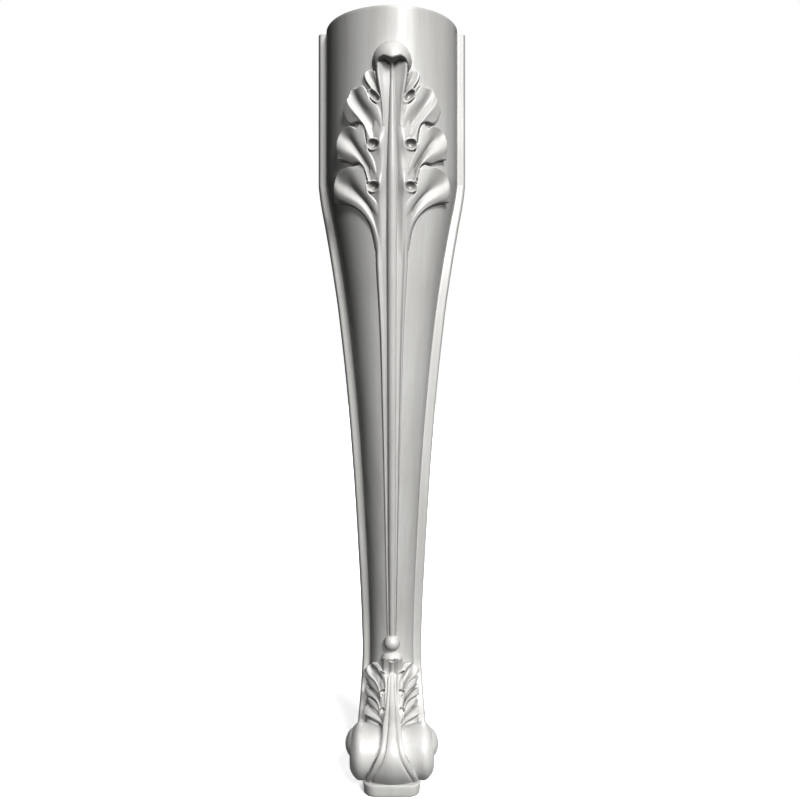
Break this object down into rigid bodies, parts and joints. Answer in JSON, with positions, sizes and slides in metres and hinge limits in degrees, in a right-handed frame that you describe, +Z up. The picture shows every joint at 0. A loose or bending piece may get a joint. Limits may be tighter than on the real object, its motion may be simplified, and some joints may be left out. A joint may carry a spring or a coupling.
{
  "type": "carved cabriole table leg",
  "caption": "Carved cabriole table leg with an acanthus knee, a long central rib, beads at the ankle, a leaf on the foot, a scroll toe and a small pad.",
  "frame": {"origin": "centre of the underside of the foot pad, on the floor", "axes": "+Z up along the height of the leg, -Y towards the rounded outer corner with the carving, +X to the right as seen from there; the two flat rear faces look towards +X+Y and -X+Y"},
  "size_m": [0.1446, 0.1528, 0.72],
  "materials": {
    "painted_wood": "satin primer paint over carved hardwood"
  },
  "bodies": {
    "root": {"leg": "painted_wood"}
  },
  "joints": []
}
